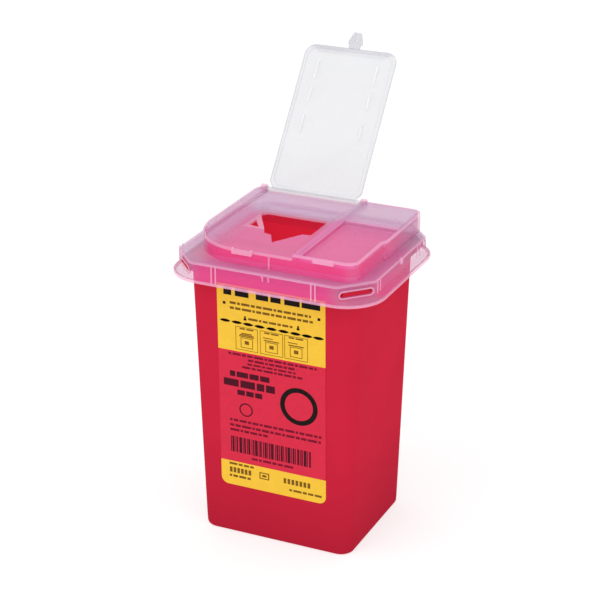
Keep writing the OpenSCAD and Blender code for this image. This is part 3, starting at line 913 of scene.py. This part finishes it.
class SHARPS_OT_flap(bpy.types.Operator):
    """Make the open flap: its plate with a thicker rim, and its hinge rod"""

    bl_idname = "sharps.make_flap"
    bl_label = "Flap"

    def execute(self, context):
        h, r = FLAP_HALF, FLAP_R
        rows = [
            (h - 1, 4.6, 1, -35, 0), (h - r, FLAP_LEN - r, r, 0, 90), (r - h, FLAP_LEN - r, r, 90, 180),
            (1 - h, 4.6, 1, 180, 215), (3.4 - h, 0.95, 0.9, 215, 270), (h - 3.4, 0.95, 0.9, -90, -35),
        ]
        line = arcs(rows, 0, 12)
        mid, half = np.array([0.0, FLAP_LEN / 2]), np.array([FLAP_HALF, FLAP_LEN / 2])

        def ring(inset, w):
            """The outline drawn in towards its middle by inset and placed at w through the flap."""
            p = mid + (line - mid) * (1 - inset / half)
            return self.placed(p[:, 0], p[:, 1], w)

        rings = [ring(20, FLAP_BACK), ring(4, FLAP_BACK), ring(0.35, FLAP_BACK)]
        rings += [ring(0.1, -0.48), ring(0, -0.25), ring(0, 0.55), ring(0.1, 0.78)]
        rings += [ring(0.35, FLAP_RIM), ring(1.6, FLAP_RIM), ring(2.0, 0.82), ring(2.3, 0.5)]
        rings += [ring(2.6, 0.41), ring(4, FLAP_FACE), ring(20, FLAP_FACE)]
        shells = [(capped(rings), False, True)]
        a = np.linspace(0, 2 * np.pi, 24, endpoint=False)
        end = [(ROD_HALF, 0.8), (ROD_HALF - 0.1, 1.0), (ROD_HALF - 0.3, PIN_R)]
        rod = [(-x, r) for x, r in end] + end[::-1]
        rings = [self.placed(np.full(24, x), r * np.cos(a), r * np.sin(a)) for x, r in rod]
        shells.append((capped(rings), False, True))
        piece = build("flap_shell", shells)
        clear, rim = material("clear flap"), material("flap edge")
        lean = math.radians(90 - FLAP_LEAN)
        along = np.array([0, math.cos(lean), math.sin(lean)])
        finish_piece(
            piece, clear, "flap", "flap_plastic", "flap_panel", "flap_rim", edge=rim,
            where=lambda c, n: self.on_rim(c, n, along),
        )
        clad(rim, "flap_latch", bevel=0.25)
        clad(material("flap rib"), "flap_ribs", bevel=0.25)
        return {"FINISHED"}

    def on_rim(self, c, n, along):
        """Faces along the flap's outer edges, and its strip at the free end."""
        out = np.hypot(n[:, 0], n @ along) > 0.35
        v = (c - [0, HINGE_Y, HINGE_Z]) @ along
        return (out & (v > 2)) | ((v > FLAP_LEN - 2.4) & (np.abs(c[:, 0] - HINGE_X) < FLAP_HALF - 3))

    def placed(self, x, v, w):
        """Points across, along and through the flap put in the frame, turned about the hinge by 90
        degrees less the lean."""
        a = math.radians(90 - FLAP_LEAN)
        w = np.broadcast_to(w, np.shape(x))
        y = HINGE_Y + v * math.cos(a) - w * math.sin(a)
        return np.stack([HINGE_X + x, y, HINGE_Z + v * math.sin(a) + w * math.cos(a)], 1)


class SHARPS_OT_label(bpy.types.Operator):
    """Finish the label and lay its plain printing"""

    bl_idname = "sharps.make_label"
    bl_label = "Label"

    def execute(self, context):
        clad(material("label film"), "front_label")
        self.plates("label_print_black", material("black ink"), self.black())
        self.plates("label_print_brown", material("brown ink"), self.brown())
        self.plates("label_print_dark", material("dark red ink"), self.bars() + self.heading())
        self.plates("label_print_red", material("red ink"), self.red())
        for name, coat, row in (
            ("label_mark", "black ink", (15, 81.5, 7.8, 10.4)),
            ("label_ring", "dark red ink", (-14.7, 73.6, 3.1, 3.8)),
        ):
            piece = build(name, [(self.ring(*row), True, True)])
            finish_piece(piece, material(coat), "root", "label_film")
        return {"FINISHED"}

    def plates(self, name, coat, boxes):
        """Thin plates on the film from rows of (x from, x to, height from, height to)."""
        b = np.array(boxes, float)
        low = np.column_stack([b[:, 0], b[:, 2], np.full(len(b), PRINT_LOW)])
        high = np.column_stack([b[:, 1], b[:, 3], np.full(len(b), PRINT_HIGH)])
        piece = boxes_piece(name, low, high, on_label)
        finish_piece(piece, coat, "root", "label_film")

    def ring(self, x, h, inner, outer):
        """A flat ring round (x, h): circles of the two radii at the printing's two faces."""
        a = np.linspace(0, 2 * np.pi, 64, endpoint=False)
        rows = [(inner, PRINT_LOW), (outer, PRINT_LOW), (outer, PRINT_HIGH), (inner, PRINT_HIGH)]
        circles = [np.stack([x + r * np.cos(a), h + r * np.sin(a), 0 * a + w], -1) for r, w in rows]
        return on_label(np.stack(circles))

    def words(self, x0, x1, h, height, first=0):
        """A greeked line: plain dashes of uneven lengths from a fixed list, with even gaps."""
        lengths = np.roll([3.4, 1.6, 4.6, 2.3, 3.0, 5.2, 1.4, 2.7, 4.0, 1.9], -first)
        ends = np.cumsum(np.tile(lengths + 0.7, 3)) + x0
        starts = np.concatenate([[x0], ends[:-1]])
        keep = starts < x1 - 0.8
        low, high = h - height / 2, h + height / 2
        return [(a, min(b - 0.7, x1), low, high) for a, b in zip(starts[keep], ends[keep])]

    def black(self):
        """Title bars, the row of tapered dashes, dots and arrow stems."""
        title = ((-26, -21.6), (-19.6, -12), (-8, -1.2), (0, 5.6), (7.6, 16), (17, 27))
        rows = [(a, b, 136.4, 141.0) for a, b in title]
        taper = ((2.9, 0.2), (2.5, 0.42), (2.0, 0.62), (1.3, 0.8))
        for i, x in enumerate((-25.4, -18.9, -12.6, -6.2, 0.4, 7.0, 13.5, 19.8, 26.0)):
            h = 122.1 - 0.07 * i
            rows += [(x - w, x + w, h - t, h + t) for w, t in taper]
        rows += [(x - 0.75, x + 0.75, 131.0, 132.5) for x in (-25.7, 26.3)]
        rows += [(x - 0.45, x + 0.45, 123.8, 126.2) for x in (-14.2, 15)]
        rows += [(x - 0.8, x + 0.8, 124.0, 124.9) for x in (-14.2, 15)]
        return rows

    def brown(self):
        """Greeked lines and three plain framed boxes in the upper band, and the lower band's rows."""
        rows = self.words(-22.6, 22, 132.4, 1.3) + self.words(-22.6, 23, 129.6, 1.3, 3)
        rows += self.words(-12.4, 13.4, 125.0, 1.2, 5)
        for x0, x1 in ((-19.7, -7.3), (-6.1, 6.6), (7.4, 20.2)):
            rows += self.outline_box(x0, x1, 107.2, 120.0, 0.3)
            rows += self.words(x0 + 2.4, x1 - 2.4, 119.0, 0.8, 4)
            mid = (x0 + x1) / 2
            rows += self.outline_box(mid - 3.4, mid + 3.4, 108.6, 114.2, 0.35)
            rows += [(mid - 4.2, mid + 4.2, 114.6, 115.2), (mid - 1.2, mid + 1.2, 110.6, 112.6)]
        rows += [(-17.4, -9.6, 115.4, 116.0), (-16.4, -10.6, 116.2, 116.8)]
        rows += [(-4.4, 1.0, 116.0, 116.5), (9.2, 14.6, 116.0, 116.5)]
        rows += self.words(-25, -11, 41.0, 1.2, 2) + self.words(-25, -11.4, 33.9, 1.3, 6)
        rows += self.words(9.2, 27.4, 32.6, 1.2, 1)
        rows += self.outline_box(-7.8, -2.2, 35.4, 39.3, 0.6) + [(-6.2, -3.8, 36.7, 38.0)]
        for x0, n, pitch in ((-24.8, 6, 2.15), (6.0, 7, 2.25)):
            rows += [(x0 + i * pitch, x0 + i * pitch + 1.5, 35.9, 38.9) for i in range(n)]
        return rows

    def red(self):
        """Greeked lines on the red middle."""
        rows = self.words(-24, 25, 104.3, 1.2, 1) + self.words(-13, 13.6, 102.0, 1.2, 4)
        rows += self.words(-13.4, 13.4, 99.8, 1.0, 7) + self.words(-16.4, 17, 97.7, 1.2, 2)
        rows += self.words(-24, 27.4, 66.7, 1.3, 6) + self.words(-24, 27.2, 63.7, 1.3, 3)
        return rows + self.words(-24, -2.6, 61.0, 1.3, 5) + self.words(-12, 12.4, 46.0, 1.2, 0)

    def heading(self):
        """Three centred headings as plain bars."""
        return (
            [(a, b, 91.6, 94.6) for a, b in ((-23.4, -20.4), (-19.6, -13.2), (-12.4, -7.2), (-6.4, -1.2))]
            + [(a, b, 86.0, 90.0) for a, b in ((-27, -18.6), (-17.6, -9.4), (-8.4, -4.2), (-3.2, 1.8))]
            + [(a, b, 81.6, 84.4) for a, b in ((-19.4, -15.2), (-14.4, -10.2), (-9.4, -5.4))]
        )

    def bars(self):
        """A plain comb of upright bars of repeating widths."""
        widths = np.tile([0.5, 1.1, 0.4, 0.7, 1.5, 0.4, 0.9], 5)
        gaps = np.tile([0.4, 0.6, 0.35, 0.8, 0.45], 7)
        starts = -23.8 + np.concatenate([[0], np.cumsum(widths + gaps)[:-1]])
        keep = starts + widths < 24.4
        return [(a, a + w, 48.2, 57.2) for a, w in zip(starts[keep], widths[keep])]

    def outline_box(self, x0, x1, h0, h1, line):
        """Four bars round a box."""
        return [
            (x0, x1, h0, h0 + line), (x0, x1, h1 - line, h1),
            (x0, x0 + line, h0 + line, h1 - line), (x1 - line, x1, h0 + line, h1 - line),
        ]


class SHARPS_OT_stage(bpy.types.Operator):
    """Set the pale floor, the soft lights and the camera"""

    bl_idname = "sharps.make_stage"
    bl_label = "Stage"

    def execute(self, context):
        scene = context.scene
        t = np.linspace(-1, 1, 3)
        x, y = np.meshgrid(t * 6000, t * 6000)
        sheet = np.stack([x, y, np.full_like(x, -0.02)], -1)
        floor = build("floor", [(sheet, False, False)], open_sheet=True)
        floor.data.materials.append(paper((0.5, 0.5, 0.5)))

        world = bpy.data.worlds.new("studio")
        world.use_nodes = True
        world.node_tree.nodes["Background"].inputs["Color"].default_value = (1, 1, 1, 1)
        world.node_tree.nodes["Background"].inputs["Strength"].default_value = 0.8
        scene.world = world
        scene.view_settings.view_transform = "Standard"

        for name, place, size, power in (
            ("key", (-0.7, -1.2, 1.5), 1.4, 7.0),
            ("fill", (1.3, -0.6, 0.9), 1.2, 3.0),
        ):
            lamp = bpy.data.lights.new(name, "AREA")
            lamp.size, lamp.energy = size, power
            holder = bpy.data.objects.new(name, lamp)
            holder.location = place
            aim = Vector(LIGHT_AIM) - Vector(place)
            holder.rotation_euler = aim.to_track_quat("-Z", "Y").to_euler()
            scene.collection.objects.link(holder)

        view = bpy.data.cameras.new("camera")
        view.sensor_width, view.lens = 36, CAMERA_LENS
        holder = bpy.data.objects.new("camera", view)
        holder.location = CAMERA_PLACE
        aim = Vector(CAMERA_AIM) - holder.location
        holder.rotation_euler = aim.to_track_quat("-Z", "Y").to_euler()
        scene.collection.objects.link(holder)
        scene.camera = holder
        return {"FINISHED"}


OPERATORS = (SHARPS_OT_bin, SHARPS_OT_skirt, SHARPS_OT_deck, SHARPS_OT_flap, SHARPS_OT_label, SHARPS_OT_stage)


class SHARPS_PT_panel(bpy.types.Panel):
    """Lists the container's pieces and their settings"""

    bl_idname = "SHARPS_PT_panel"
    bl_label = "Sharps Container"
    bl_space_type = "VIEW_3D"
    bl_region_type = "UI"
    bl_category = "Sharps Container"

    def draw(self, context):
        for group in (context.scene.sharps_sizes, context.scene.sharps_finish):
            for key in group.__annotations__:
                self.layout.prop(group, key)
        for operator in OPERATORS:
            self.layout.operator(operator.bl_idname)


CLASSES = (SharpsFinish, SharpsSizes, *OPERATORS, SHARPS_PT_panel)


def register():
    """Adds the classes and the scene's settings."""
    for c in CLASSES:
        bpy.utils.register_class(c)
    bpy.types.Scene.sharps_finish = PointerProperty(type=SharpsFinish)
    bpy.types.Scene.sharps_sizes = PointerProperty(type=SharpsSizes)


def unregister():
    """Takes them away again."""
    del bpy.types.Scene.sharps_finish
    del bpy.types.Scene.sharps_sizes
    for c in reversed(CLASSES):
        bpy.utils.unregister_class(c)


def main():
    """Makes every piece and the stage."""
    register()
    for name in ("cube", "Cube", "Light", "Camera"):
        if name in bpy.data.objects:
            bpy.data.objects.remove(bpy.data.objects[name])
    for operator in OPERATORS:
        group, call = operator.bl_idname.split(".")
        getattr(getattr(bpy.ops, group), call)()


if __name__ == "__main__":
    main()
